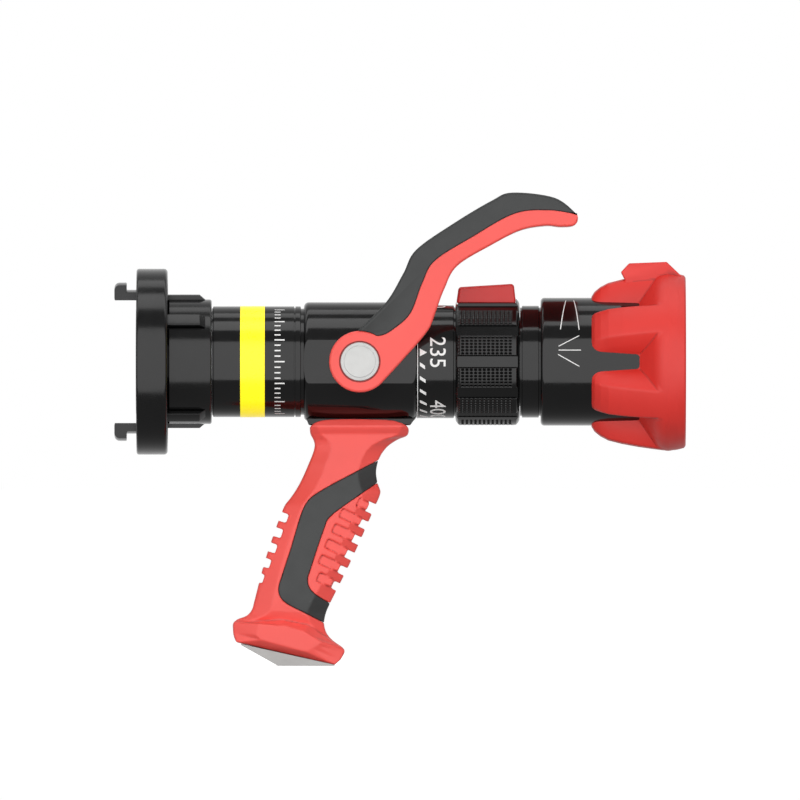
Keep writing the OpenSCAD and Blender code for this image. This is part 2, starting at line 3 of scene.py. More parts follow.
import bmesh
import bpy
import numpy as np
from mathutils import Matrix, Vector


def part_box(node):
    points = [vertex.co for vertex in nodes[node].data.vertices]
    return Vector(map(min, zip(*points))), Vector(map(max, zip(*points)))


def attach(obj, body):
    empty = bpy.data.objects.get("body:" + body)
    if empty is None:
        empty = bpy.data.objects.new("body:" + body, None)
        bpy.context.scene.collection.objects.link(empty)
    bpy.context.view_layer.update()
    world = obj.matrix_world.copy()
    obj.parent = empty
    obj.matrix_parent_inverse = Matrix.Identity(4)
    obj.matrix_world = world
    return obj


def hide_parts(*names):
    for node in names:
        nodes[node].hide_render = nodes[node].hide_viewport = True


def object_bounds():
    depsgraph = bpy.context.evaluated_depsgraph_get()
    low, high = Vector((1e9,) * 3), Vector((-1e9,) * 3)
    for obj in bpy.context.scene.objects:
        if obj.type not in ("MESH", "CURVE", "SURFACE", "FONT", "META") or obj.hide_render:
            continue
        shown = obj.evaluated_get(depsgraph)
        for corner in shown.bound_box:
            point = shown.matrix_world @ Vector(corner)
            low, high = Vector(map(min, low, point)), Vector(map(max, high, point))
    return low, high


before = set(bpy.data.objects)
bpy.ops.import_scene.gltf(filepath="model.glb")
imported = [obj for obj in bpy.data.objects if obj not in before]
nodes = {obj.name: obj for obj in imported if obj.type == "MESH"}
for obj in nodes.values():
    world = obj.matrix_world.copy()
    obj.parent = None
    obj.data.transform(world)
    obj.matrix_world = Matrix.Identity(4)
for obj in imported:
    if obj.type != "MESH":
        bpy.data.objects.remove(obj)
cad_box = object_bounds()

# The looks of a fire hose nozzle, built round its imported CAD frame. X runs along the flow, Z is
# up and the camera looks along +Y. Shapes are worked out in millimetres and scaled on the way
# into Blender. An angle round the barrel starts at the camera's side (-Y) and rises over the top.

MM = 0.001
PIVOT = (120.1, 0)      # the lever's axis, as (x, z)


def ends(node):
    """First and last station along the flow, and outer radius, of a CAD node, in millimetres."""
    low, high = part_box(node)
    return low.x / MM, high.x / MM, max(high.z, high.y) / MM


# -------- outlines


def rounded(points, steps=6):
    """A closed outline of (u, v) or (u, v, radius) points, each radius drawn as an arc."""
    out = []
    for i, point in enumerate(points):
        corner = np.array(point[:2], float)
        radius = point[2] if len(point) > 2 else 0
        if radius <= 0:
            out.append(corner)
            continue
        before = np.array(points[i - 1][:2], float) - corner
        after = np.array(points[(i + 1) % len(points)][:2], float) - corner
        len_before, len_after = np.linalg.norm(before), np.linalg.norm(after)
        before, after = before / len_before, after / len_after
        half = math.acos(np.clip(before @ after, -1, 1)) / 2
        if half > 1.55:
            continue
        cut = min(radius / math.tan(half), 0.49 * len_before, 0.49 * len_after)
        radius = cut * math.tan(half)
        middle = before + after
        centre = corner + middle / np.linalg.norm(middle) * radius / math.sin(half)
        a0 = math.atan2(*(corner + before * cut - centre)[::-1])
        a1 = math.atan2(*(corner + after * cut - centre)[::-1])
        turn = (a1 - a0 + math.pi) % math.tau - math.pi
        for s in range(steps + 1):
            a = a0 + turn * s / steps
            out.append(centre + radius * np.array([math.cos(a), math.sin(a)]))
    return np.array(out)


def smooth(points, steps=8):
    """A smooth curve through the points, as in the CAD source."""
    p = np.array(points, float)
    last = len(p) - 1
    out = []
    for i in range(last):
        a, b, c, d = p[max(i - 1, 0)], p[i], p[i + 1], p[min(i + 2, last)]
        for s in range(steps):
            t = s / steps
            square, cube = (2 * a - 5 * b + 4 * c - d) * t**2, (3 * b - a - 3 * c + d) * t**3
            out.append(0.5 * (2 * b + (c - a) * t + square + cube))
    return np.array(out + [p[last]])


def smoothstep(x, low, high):
    """0 up to low, 1 from high on, and a smooth rise between them."""
    t = np.clip((x - low) / (high - low), 0, 1)
    return t * t * (3 - 2 * t)


def smooth_min(a, b, width):
    """The smaller of a and b, with the corner between them rounded over width."""
    h = np.clip(0.5 + 0.5 * (b - a) / width, 0, 1)
    return b * (1 - h) + a * h - width * h * (1 - h)


# -------- meshes


def placed(name, data):
    """A new object in the scene that shows a mesh, a curve, a lamp or a camera."""
    obj = bpy.data.objects.new(name, data)
    bpy.context.scene.collection.objects.link(obj)
    return obj


def new_object(name, points_mm, faces):
    """A mesh object from points and faces, with its normals turned outwards."""
    mesh = bpy.data.meshes.new(name)
    mesh.from_pydata((np.asarray(points_mm, float) * MM).tolist(), [], faces)
    obj = placed(name, mesh)
    edit(obj, lambda b: bmesh.ops.recalc_face_normals(b, faces=b.faces))
    return obj


def edit(obj, change):
    """Runs change on the object's mesh."""
    b = bmesh.new()
    b.from_mesh(obj.data)
    change(b)
    b.to_mesh(obj.data)
    b.free()


def on_barrel(x, radius, degrees):
    """Points at stations, radii and angles round the barrel."""
    a = np.radians(degrees)
    x, radius, a = np.broadcast_arrays(x, radius, a)
    return np.stack([x, -radius * np.cos(a), radius * np.sin(a)], axis=-1)


def grid_object(name, grid, wrap_rows=True, wrap_columns=True):
    """A mesh through a grid of points that may close on itself both ways."""
    rows, columns = grid.shape[:2]
    index = np.arange(rows * columns).reshape(rows, columns)
    if wrap_rows:
        index = np.vstack([index, index[:1]])
    if wrap_columns:
        index = np.hstack([index, index[:, :1]])
    quads = np.stack([index[:-1, :-1], index[:-1, 1:], index[1:, 1:], index[1:, :-1]], axis=-1)
    faces = quads.reshape(-1, 4).tolist()
    if not wrap_columns:
        faces += [index[:-1, 0].tolist(), index[:-1, -1][::-1].tolist()]
    return new_object(name, grid.reshape(-1, 3), faces)


def turned(name, profile, segments=288):
    """Solid of revolution about the flow axis from a closed outline of (x, radius) points."""
    angles = np.linspace(0, 360, segments, endpoint=False)
    return grid_object(name, on_barrel(profile[:, 0:1], profile[:, 1:2], angles[None, :]))


def swept(name, profile, angle, span, segments=24):
    """The same across a span of degrees centred on an angle."""
    angles = np.linspace(angle - span / 2, angle + span / 2, segments)
    points = on_barrel(profile[:, 0:1], profile[:, 1:2], angles[None, :])
    return grid_object(name, points, wrap_columns=False)


def prism(name, outline, y0, y1):
    """An outline in the XZ plane, drawn out from y0 to y1."""
    n = len(outline)
    points = [[x, y, z] for y in (y0, y1) for x, z in outline]
    sides = [[i, (i + 1) % n, n + (i + 1) % n, n + i] for i in range(n)]
    return new_object(name, points, [list(range(n)), list(range(n, 2 * n))] + sides)


def block(name, centre, size, lean=0):
    """A box, leaned back by some degrees about Y."""
    a = math.radians(lean)
    fore, up = np.array([math.cos(a), 0, -math.sin(a)]), np.array([math.sin(a), 0, math.cos(a)])
    side = np.array([0, 1, 0])
    signs = [(i, j, k) for i in (-1, 1) for j in (-1, 1) for k in (-1, 1)]
    points = [np.array(centre) + 0.5 * (i * size[0] * fore + j * size[1] * side + k * size[2] * up)
              for i, j, k in signs]
    return new_object(name, points, [[0, 1, 3, 2], [4, 6, 7, 5], [0, 4, 5, 1], [2, 3, 7, 6],
                                     [0, 2, 6, 4], [1, 5, 7, 3]])


def circle(centre, radius, segments=128):
    """A closed outline round a centre."""
    a = np.linspace(0, math.tau, segments, endpoint=False)
    return np.stack([centre[0] + radius * np.cos(a), centre[1] + radius * np.sin(a)], axis=1)


def disc(name, centre, radius, y0, y1):
    """A cylinder across the barrel, from y0 to y1."""
    return prism(name, circle(centre, radius), y0, y1)


def grown(outline, amount):
    """A closed outline with each point moved outwards, or inwards by an amount below 0."""
    ahead, behind = np.roll(outline, -1, axis=0), np.roll(outline, 1, axis=0)
    along = ahead - behind
    along /= np.linalg.norm(along, axis=1)[:, None]
    outward = np.stack([along[:, 1], -along[:, 0]], axis=1)
    area = np.sum(outline[:, 0] * ahead[:, 1] - ahead[:, 0] * outline[:, 1])
    return outline + np.sign(area) * np.reshape(amount, (-1, 1)) * outward


def skinned(name, sections):
    """A mesh over a run of closed sections, with the first and last filled in."""
    grid = np.array(sections)
    rows, columns = grid.shape[:2]
    index = np.arange(rows * columns).reshape(rows, columns)
    wrapped = np.hstack([index, index[:, :1]])
    quads = np.stack([wrapped[:-1, :-1], wrapped[:-1, 1:], wrapped[1:, 1:], wrapped[1:, :-1]], -1)
    faces = quads.reshape(-1, 4).tolist() + [index[0].tolist(), index[-1][::-1].tolist()]
    return new_object(name, grid.reshape(-1, 3), faces)


def soft_prism(name, outline, y0, y1, radius):
    """A prism whose edges are rounded, by one radius or by one for each point."""
    sections = []
    for face, inwards, turns in ((y0, 1, range(0, 91, 18)), (y1, -1, range(90, -1, -18))):
        for turn in np.radians(list(turns)):
            line = grown(outline, -radius * (1 - math.sin(turn)))
            y = face + inwards * radius * (1 - math.cos(turn)) + 0 * line[:, 0]
            sections.append(np.stack([line[:, 0], y, line[:, 1]], axis=1))
    return skinned(name, sections)


def settle(obj):
    """Applies the object's modifiers to its mesh."""
    seen = obj.evaluated_get(bpy.context.evaluated_depsgraph_get())
    mesh = bpy.data.meshes.new_from_object(seen)
    old = obj.data
    obj.modifiers.clear()
    obj.data = mesh
    mesh.name = obj.name
    bpy.data.meshes.remove(old)
    return obj


def combine(obj, tool, operation="DIFFERENCE"):
    """Cuts, joins or intersects obj with tool, which is used up."""
    step = obj.modifiers.new("combine", "BOOLEAN")
    step.operation = operation
    step.solver = "MANIFOLD"
    step.object = tool
    settle(obj)
    bpy.data.objects.remove(tool)
    return obj


def bevelled(obj, width, segments=4, angle=30):
    """Rounds the edges that are sharper than the angle."""
    step = obj.modifiers.new("bevel", "BEVEL")
    step.width = width * MM
    step.segments = segments
    step.limit_method = "ANGLE"
    step.angle_limit = math.radians(angle)
    step.use_clamp_overlap = True
    return settle(obj)


def remeshed(obj, voxel, smoothing):
    """One even skin over a shape built from several, with its edges softened."""
    step = obj.modifiers.new("skin", "REMESH")
    step.mode = "VOXEL"
    step.voxel_size = voxel * MM
    step.use_smooth_shade = True
    relax = obj.modifiers.new("relax", "SMOOTH")
    relax.factor = 0.5
    relax.iterations = smoothing
    return settle(obj)


def shaded(obj, sharp_angle=30):
    """Smooth shading, broken along edges sharper than the angle."""
    def mark(b):
        for face in b.faces:
            face.smooth = True
        for edge in b.edges:
            if len(edge.link_faces) == 2:
                edge.smooth = edge.calc_face_angle(0) < math.radians(sharp_angle)
    edit(obj, mark)
    weight = obj.modifiers.new("normals", "WEIGHTED_NORMAL")
    weight.keep_sharp = True
    return settle(obj)


def piece(obj, body, slot, material, *replaced):
    """Hands a finished mesh to the frame."""
    obj.data.materials.clear()
    obj.data.materials.append(material)
    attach(obj, body)
    if replaced:
        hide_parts(*replaced)
    return obj


# -------- materials


def add_node(tree, kind, **settings):
    """A new shader node with the settings made on it."""
    made = tree.nodes.new(kind)
    for key, value in settings.items():
        setattr(made, key, value)
    return made


class Recipe:
    """A Principled material and short ways to add nodes to it. Sizes are in millimetres."""

    def __init__(self, name, color, roughness, **sockets):
        self.material = bpy.data.materials.new(name)
        self.material.use_nodes = True
        self.tree = self.material.node_tree
        self.shader = self.tree.nodes["Principled BSDF"]
        self.place = self.node("ShaderNodeTexCoord").outputs["Object"]
        self.color = (*color, 1)
        self.shader.inputs["Base Color"].default_value = self.color
        self.shader.inputs["Roughness"].default_value = roughness
        self.roughness = roughness
        for socket, value in sockets.items():
            self.shader.inputs[socket.replace("_", " ")].default_value = value

    def node(self, kind, **settings):
        return add_node(self.tree, kind, **settings)

    def link(self, output, socket):
        self.tree.links.new(output, socket)

    def stretched(self, scale):
        """The object's coordinates, squeezed so that a texture stretches along an axis."""
        made = self.node("ShaderNodeMapping")
        made.inputs["Scale"].default_value = scale
        self.link(self.place, made.inputs["Vector"])
        return made.outputs["Vector"]

    def noise(self, size, detail=3.0, place=None):
        made = self.node("ShaderNodeTexNoise")
        made.inputs["Scale"].default_value = 1 / (size * MM)
        made.inputs["Detail"].default_value = detail
        self.link(place or self.place, made.inputs["Vector"])
        return made.outputs["Fac"]

    def cells(self, size, place=None):
        made = self.node("ShaderNodeTexVoronoi")
        made.inputs["Scale"].default_value = 1 / (size * MM)
        self.link(place or self.place, made.inputs["Vector"])
        return made.outputs["Distance"]

    def remap(self, value, low, high, from_low=0.3, from_high=0.7):
        made = self.node("ShaderNodeMapRange")
        made.inputs["From Min"].default_value = from_low
        made.inputs["From Max"].default_value = from_high
        made.inputs["To Min"].default_value = low
        made.inputs["To Max"].default_value = high
        self.link(value, made.inputs["Value"])
        return made.outputs["Result"]

    def mix(self, factor, first, second):
        made = self.node("ShaderNodeMix", data_type="RGBA")
        self.link(factor, made.inputs["Factor"])
        for socket, value in ((made.inputs["A"], first), (made.inputs["B"], second)):
            if isinstance(value, tuple):
                socket.default_value = value
            else:
                self.link(value, socket)
        return made.outputs["Result"]

    def mottled(self, size, spread):
        """Slow changes of the base colour, lighter and darker by a share."""
        dark = tuple(c * (1 - spread) for c in self.color[:3]) + (1,)
        light = tuple(min(c * (1 + spread), 1) for c in self.color[:3]) + (1,)
        result = self.mix(self.remap(self.noise(size), 0, 1), dark, light)
        self.link(result, self.shader.inputs["Base Color"])
        self.base = result
        return self

    def lit_and_worn_edges(self, color, amount):
        """A lighter tone where the surface turns sharply outward: a painted highlight along the edges,
        with slight wear.
        """
        edge = self.node("ShaderNodeNewGeometry").outputs["Pointiness"]
        factor = self.remap(edge, 0, amount, 0.53, 0.62)
        self.base = self.mix(factor, self.base, (*color, 1))
        self.link(self.base, self.shader.inputs["Base Color"])
        return self

    def painted_crease_shade(self, share):
        """Painted shade in the creases: a deeper tone, down to a share of the base colour."""
        hollow = self.node("ShaderNodeNewGeometry").outputs["Pointiness"]
        factor = self.remap(hollow, 1, 0, 0.42, 0.492)
        self.base = self.mix(factor, self.base, tuple(c * share for c in self.color[:3]) + (1,))
        self.link(self.base, self.shader.inputs["Base Color"])
        return self

    def uneven(self, size, spread, place=None):
        """Roughness that wanders, as handled or moulded surfaces do."""
        low, high = self.roughness - spread, self.roughness + spread
        result = self.remap(self.noise(size, 5, place), low, high)
        self.link(result, self.shader.inputs["Roughness"])
        return self

    def bumped(self, *layers):
        """Relief from (height output, depth) layers."""
        normal = None
        for height, depth in layers:
            made = self.node("ShaderNodeBump")
            made.inputs["Distance"].default_value = depth * MM
            made.inputs["Strength"].default_value = 1
            self.link(height, made.inputs["Height"])
            if normal:
                self.link(normal, made.inputs["Normal"])
            normal = made.outputs["Normal"]
        self.link(normal, self.shader.inputs["Normal"])
        return self


def black_metal(name, roughness, depth):
    """Hard black coating on turned metal: fine lines round the barrel, faint orange peel."""
    r = Recipe(name, (0.004, 0.004, 0.0042), roughness)
    lines = r.noise(0.35, 2, r.stretched((1, 0.04, 0.04)))
    # The lighter edges are a painted highlight, with slight wear.
    r.mottled(22, 0.25).lit_and_worn_edges((0.03, 0.03, 0.032), 0.3).uneven(6, 0.03)
    return r.bumped((lines, depth), (r.noise(1.6, 2), depth * 2)).material


def moulded(name, color, roughness, grain, depth, **sockets):
    """Moulded plastic or rubber: fine spark-eroded grain over a slightly wavy surface."""
    r = Recipe(name, color, roughness, **sockets)
    # Lighter edges are a painted highlight with slight wear; darker creases are painted shade.
    lighter = tuple(min(1, c * 1.25 + 0.03) for c in color)
    r.mottled(30, 0.035).lit_and_worn_edges(lighter, 0.35).painted_crease_shade(0.3).uneven(9, 0.05)
    return r.bumped((r.cells(grain), depth), (r.noise(14, 2), depth * 6)).material


def brushed(name, color, roughness, stretch, metallic=1.0):
    """Machined or brushed metal with its lines along the axes that stretch leaves at 1."""
    r = Recipe(name, color, roughness, Metallic=metallic)
    lines = r.stretched(stretch)
    r.mottled(12, 0.06).uneven(0.5, 0.08, lines)
    return r.bumped((r.noise(0.25, 4, lines), 0.004), (r.noise(5, 2), 0.006)).material


def spun_cap(name, centre):
    """Turned face of the pivot's cap: fine rings round its centre."""
    r = Recipe(name, (0.53, 0.53, 0.52), 0.4, Metallic=0.6)
    flat = r.node("ShaderNodeMapping")
    flat.inputs["Location"].default_value = (-centre[0] * MM, 0, -centre[1] * MM)
    r.link(r.place, flat.inputs["Vector"])
    squash = r.node("ShaderNodeVectorMath", operation="MULTIPLY")
    squash.inputs[1].default_value = (1, 0, 1)
    r.link(flat.outputs["Vector"], squash.inputs[0])
    reach = r.node("ShaderNodeVectorMath", operation="LENGTH")
    r.link(squash.outputs["Vector"], reach.inputs[0])
    rings = r.node("ShaderNodeTexNoise", noise_dimensions="1D")
    rings.inputs["Scale"].default_value = 1 / (0.25 * MM)
    r.link(reach.outputs["Value"], rings.inputs["W"])
    r.mottled(8, 0.03).uneven(3, 0.05)
    return r.bumped((rings.outputs["Fac"], 0.006), (r.noise(0.6, 3), 0.004)).material


def band_with_painted_glow(name):
    """Reflective tape: tiny cells under a clear face, with a painted glow that keeps it bright where it
    is in shade.
    """
    # The emission is a painted glow, not a lamp.
    r = Recipe(name, (1.0, 0.9, 0.01), 0.3, Emission_Color=(1.0, 0.8, 0.01, 1),
               Emission_Strength=0.45)
    r.mottled(10, 0.015).uneven(2, 0.05)
    return r.bumped((r.cells(0.5), 0.004)).material


def printed(name):
    """White pad-printed ink, slightly uneven in cover."""
    r = Recipe(name, (0.86, 0.86, 0.85), 0.5)
    r.mottled(1.2, 0.05).uneven(1, 0.06)
    return r.bumped((r.noise(0.2, 2), 0.004)).material


def rubber_seal(name):
    """Dull black rubber."""
    r = Recipe(name, (0.02, 0.02, 0.021), 0.62)
    r.mottled(6, 0.2).uneven(2, 0.08)
    return r.bumped((r.noise(0.3, 4), 0.02)).material


BLACK = black_metal("hard_black", 0.12, 0.0012)
BLACK_SATIN = black_metal("hard_black_satin", 0.17, 0.002)
RED = moulded("red_plastic", (0.92, 0.094, 0.078), 0.36, 0.32, 0.005)
TAB_RED = moulded("tab_red", (0.55, 0.02, 0.018), 0.38, 0.3, 0.005)
BUMPER_RED = moulded("bumper_rubber", (0.7, 0.03, 0.022), 0.46, 0.4, 0.008)
SOFT_GREY = moulded("soft_grip", (0.036, 0.038, 0.038), 0.5, 0.45, 0.018)
ALLOY = brushed("turned_alloy", (0.55, 0.56, 0.57), 0.34, (1, 0.05, 0.05))
STEEL = brushed("bright_steel", (0.62, 0.62, 0.6), 0.24, (1, 0.08, 0.08))
BRASS = brushed("plain_brass", (0.66, 0.46, 0.18), 0.3, (0.1, 1, 0.1))
FOOT = brushed("foot_plate", (0.42, 0.41, 0.4), 0.45, (0.1, 1, 1), 0.15)
CREAM = moulded("seat_plastic", (0.75, 0.72, 0.63), 0.4, 0.3, 0.004)
TEETH_BLACK = moulded("teeth_plastic", (0.02, 0.02, 0.021), 0.4, 0.3, 0.006)
BAND = band_with_painted_glow("band_tape_painted_glow")
INK = printed("white_ink")
SEAL = rubber_seal("seal_rubber")
CAP = spun_cap("spun_cap", PIVOT)


# -------- coupling and inlet tube


def lug_ring():
    """Rim with two hooked lugs and two windows for the lugs of the other half."""
    x0, _, rim_r = ends("lug_ring")
    rim_len, plate, channel = 16.7, 5.5, (32.8, 45.5)
    rim = turned("lug_ring", rounded([
        (0, 31, 0.3), (0, rim_r, 1.3), (rim_len, rim_r, 1.9), (rim_len, channel[1], 0.5),
        (plate, channel[1], 0.8), (plate, 31)]))
    lug = rounded([(2, 32), (x0, 32, 3.6), (x0, 42.6, 2.8), (-5.3, 42.6, 0.4),
                   (-5.3, 38.7, 0.6), (2, 38.7)])
    for angle in (90, 270):
        lug_piece = swept("lug", lug, angle, 31)
        combine(lug_piece, block("inner_flat", (-10, 0, 0), (19.96, 60, 66)))
        combine(rim, bevelled(lug_piece, 0.5, 3), "UNION")
    window = rounded([(-1, channel[0]), (-1, 44), (plate + 0.2, 44), (plate + 0.2, channel[0])])
    for angle in (0, 180):
        combine(rim, swept("window", window, angle, 40))
    piece(shaded(rim, 28), "coupling", "coupling_black", BLACK_SATIN, "lug_ring")


def ring_hub():
    """Hub behind the rim, with rounded gripping ribs that stand in shallow grooves."""
    x0, x1, _ = ends("ring_hub")
    r, rib_r = 33.5, 36.2
    hub = turned("ring_hub", rounded([
        (x0, 27.08), (x0, r - 0.7), (16.4, r - 0.7), (17.6, r, 0.9), (x1, r, 1.1), (x1, 30.5, 0.3),
        (36, 30.5), (36, 27.08)]))
    rib = rounded([(15, 32), (15, rib_r), (33.9, rib_r, 0.8), (37.4, 33.2), (37.4, 32)])
    groove = rounded([(15, 32.5, 0.4), (15, 35), (36.8, 35), (36.8, 32.5, 0.8)])
    for group in (87, 255):
        for step in (-48, 0, 48):
            combine(hub, swept("groove", groove, group + step, 14.6))
            combine(hub, bevelled(swept("rib", rib, group + step, 11.6), 0.9, 4), "UNION")
    piece(shaded(hub, 28), "coupling", "coupling_black", BLACK_SATIN, "ring_hub")


def inlet_tube():
    """Tube with a band let into it and a fine groove near its end."""
    x0, x1, r = ends("inlet_tube")
    band_x0, band_x1, band_r = ends("colour_band")
    tube = turned("inlet_tube", rounded([
        (40.6, 27.1), (40.6, 28.9), (x0, 28.9), (x0, r, 0.9), (band_x0, r, 0.15),
        (band_x0, r - 1.2), (band_x1, r - 1.2), (band_x1, r, 0.15), (84.8, r, 0.15),
        (84.8, r - 0.7), (85.5, r - 0.7), (85.5, r, 0.15), (88.4, r, 0.5), (88.4, 28.6),
        (89.95, 28.6), (89.95, 27), (90, 27), (90, 24), (93, 24), (93, 22.3), (95.4, 22.3),
        (95.4, 24), (x1, 24), (x1, 17), (58.2, 19.8), (58.2, 25.05), (x0, 25.05), (x0, 27.1)]))
    piece(shaded(tube, 28), "nozzle", "body_black", BLACK, "inlet_tube")
    band = turned("colour_band", rounded([
        (band_x0, r - 1.18), (band_x0, band_r, 0.12), (band_x1, band_r, 0.12), (band_x1, r - 1.18)]))
    piece(shaded(band, 28), "nozzle", "band_yellow", BAND, "colour_band")


# -------- valve body and barrels


def valve_body():
    """Round body with a flat on each side and a boss under it for the grip."""
    x0, x1, _ = ends("valve_body")
    r, chamber, flat = 32, 25.5, 29.8
    body = turned("valve_body", rounded([
        (x0, 24.05), (x0, r, 2.7), (x1, r, 2.7), (x1, chamber), (100, chamber), (100, 24.05)], 9))
    middle = (x0 + x1) / 2
    combine(body, block("flats", (middle, 0, 0), (x1 - x0 + 4, 2 * flat, 80)), "INTERSECT")
    boss_line = [(90.2, -22), (90.2, -28, 1.5), (92.7, -34.2, 1.0), (147.2, -34.2, 1.0),
                 (150.2, -30, 1.5), (150.2, -22)]
    boss = bevelled(prism("boss", rounded(boss_line), -9, 9), 0.6, 3)
    combine(body, combine(boss, turned("hollow", rounded([
        (80, 20), (80, 27.5), (160, 27.5), (160, 20)]))), "UNION")
    combine(body, disc("stem_bore", PIVOT, 9.05, -40, 40))
    piece(shaded(body, 14), "nozzle", "body_black", BLACK, "valve_body")


def scale_ring():
    """Fixed ring that carries the flow settings."""
    x0, x1, r = ends("flow_scale_ring")
    ring = turned("flow_scale_ring", rounded([
        (x0, 27.03), (x0, r, 0.5), (x1, r, 0.5), (x1, 29.4), (x1 + 0.75, 29.4),
        (x1 + 0.75, 27.03)]))
    piece(shaded(ring, 28), "nozzle", "body_black", BLACK, "flow_scale_ring")


def front_barrel():
    """Neck and front barrel in one, with the groove of the stream shaper's seal."""
    x0, x1, r = ends("front_barrel")
    barrel = turned("front_barrel", rounded([
        (x0, 24.05), (x0, r - 0.9), (207.3, r - 0.9, 0.1), (207.3, r, 0.25), (216.3, r, 0.25),
        (216.3, r - 0.9, 0.1), (217.3, r - 0.9), (217.3, r), (261, r), (261, 28.4), (263, 28.4),
        (263, r), (268, r, 0.4), (268, 28), (x1, 24, 0.5), (x1, 22, 0.5), (262, 20),
        (218.2, 20), (218.2, 24.05)]))
    piece(shaded(barrel, 28), "nozzle", "body_black", BLACK, "front_barrel")


# -------- flow ring


def flow_ring():
    """Ring with twelve cross-knurled pads and smooth flats between them."""
    x0, x1, _ = ends("flow_ring")
    top, groove_depth, flat_r, shoulder_r = 34.4, 1.15, 32.8, 30.4
    pitch, grooves, crest_half = 2.32, 12, 0.28
    pad_spacing, gap_half, tab_half, columns = 30, 5.25, 26, 720
    first = x0 + 2.7
    last = first + grooves * pitch
    rim = (0.2, 0.5, 1.0, 1.5, 1.9)
    xs = [x0 + o for o in rim] + [x1 - o for o in rim]
    xs += [first + pitch * i + o for i in range(grooves) for o in (0, crest_half, 0.8, 1.16, 1.52, 2.04)]
    xs += [last, last + crest_half, first - crest_half, first - 0.8]
    xs = np.array(sorted(xs))[:, None]
    angles = np.arange(columns)[None, :] * 360 / columns
    from_gap = np.abs((angles + pad_spacing / 2) % pad_spacing - pad_spacing / 2)
    to_gap_edge = from_gap - gap_half
    from_end = np.minimum(xs - x0, x1 - xs)
    shoulder = shoulder_r + (top - shoulder_r) * np.sqrt(np.clip(from_end / 2.2, 0, 1))
    across = (xs - first) % pitch
    from_ridge = np.minimum(across, pitch - across) - crest_half
    ring_groove = groove_depth * np.clip(from_ridge / (pitch / 2 - crest_half), 0, 1)
    step = np.round((from_gap - pad_spacing / 2) * 2) % 6
    cross_ridge = np.where(step == 0, 0.3, np.where((step == 1) | (step == 5), 0.5, groove_depth))
    knurled = (xs > first - 1) & (xs < last + 1) & (to_gap_edge > 0.6) & (abs(angles - 90) > tab_half)
    pad = top - np.where(knurled, np.minimum(ring_groove, cross_ridge), 0)
    flat = flat_r / np.cos(np.radians(np.clip(from_gap, 0, 6)))
    surface = flat + (pad - flat) * smoothstep(to_gap_edge, -0.3, 0.7)
    surface = smooth_min(surface, shoulder + 0 * angles, 0.5)
    outer = on_barrel(xs, surface, angles)
    inner = rounded([(x1, 30.2), (x1, 27.08), (190.2, 27.08), (190.2, 28.6), (185.8, 28.6),
                     (185.8, 27.08), (x0, 27.08), (x0, 30.2)])
    inside = on_barrel(inner[:, 0:1], inner[:, 1:2], angles)
    ring = grid_object("flow_ring", np.concatenate([outer, inside]))
    pocket = block("pocket", ((x0 + x1) / 2 - 0.7, 0, 36), (31.9, 25.2, 10.2))
    combine(ring, pocket)
    piece(shaded(ring, 35), "flow_setting", "knurl_black", BLACK_SATIN, "flow_ring")


def flow_tab():
    """Red pointer block let into the top of the flow ring."""
    x0, x1, top = ends("flow_tab")
    half_w = 12.5
    outline = rounded([(x0, 31), (x0, 33), (173.2, top - 1.8, 1.8), (202.9, top, 1.8),
                       (x1, 33), (x1, 31)])
    tab = prism("flow_tab", outline, -half_w, half_w)
    piece(shaded(bevelled(tab, 1.5, 5), 30), "flow_setting", "tab_red", TAB_RED, "flow_tab")


# -------- pattern sleeve and bumper


def pattern_sleeve():
    """Black sleeve that turns to shape the spray."""
    x0, x1, r = ends("pattern_sleeve")
    sleeve = turned("pattern_sleeve", rounded([
        (x0, 30.2, 0.4), (x0, r, 3.2), (x1, r, 0.3), (x1, 31.68), (231.7, 31.68), (231.7, 30.2)], 10))
    piece(shaded(sleeve, 20), "twist_sleeve", "body_black", BLACK, "pattern_sleeve")


def bumper_outer(x):
    """Outer radius of the bumper at station x, as if it had no slots."""
    stations = [244.7, 246.3, 249.5, 253.7, 261.2, 270, 278.6, 286, 291, 294.5, 295.3]
    radii = [35.0, 37.6, 40.2, 42.4, 44.3, 45.9, 47.1, 48.0, 47.3, 46.4, 45.2]
    return np.interp(x, stations, radii)


def bumper_surface(x, angles):
    """Radius of the bumper: teeth, and slots that dip below the sleeve between sloping walls."""
    start, end, floor_r = 244.7, 270.4, 34.43
    side = np.abs(np.radians((angles + 30) % 60 - 30)) * 39
    outer = bumper_outer(x) + 0 * side
    nose = 5.5
    flare = nose - np.sqrt(np.clip(nose**2 - np.clip(nose - (x - start), 0, nose)**2, 0, None))
    half = 6.4 - 2.0 * np.clip((x - start) / (end - start), 0, 1) + 0.9 * flare
    ridge = 12.2 + 1.4 * (x - 249) / 30
    wall = floor_r + (side - half) * (outer - floor_r) / np.clip(ridge - half, 1, None)
    ramp = floor_r + (x - end) * 1.25 + 0 * side
    corner = 2.0
    beside, beyond = side - half + corner, x - end + corner + 0 * side
    apart = np.hypot(np.maximum(beside, 0), np.maximum(beyond, 0))
    apart = apart + np.minimum(np.maximum(beside, beyond), 0) - corner
    soft = 0.8 + 3.0 * smoothstep(ramp - wall, 0, 4)
    slope = smooth_min(outer, np.maximum(np.maximum(wall, ramp), floor_r + 0.4 * apart), soft)
    dip = np.maximum(floor_r + 1.3 * apart, floor_r - 0.88)
    return np.where(apart < 0, dip, np.maximum(slope, floor_r))


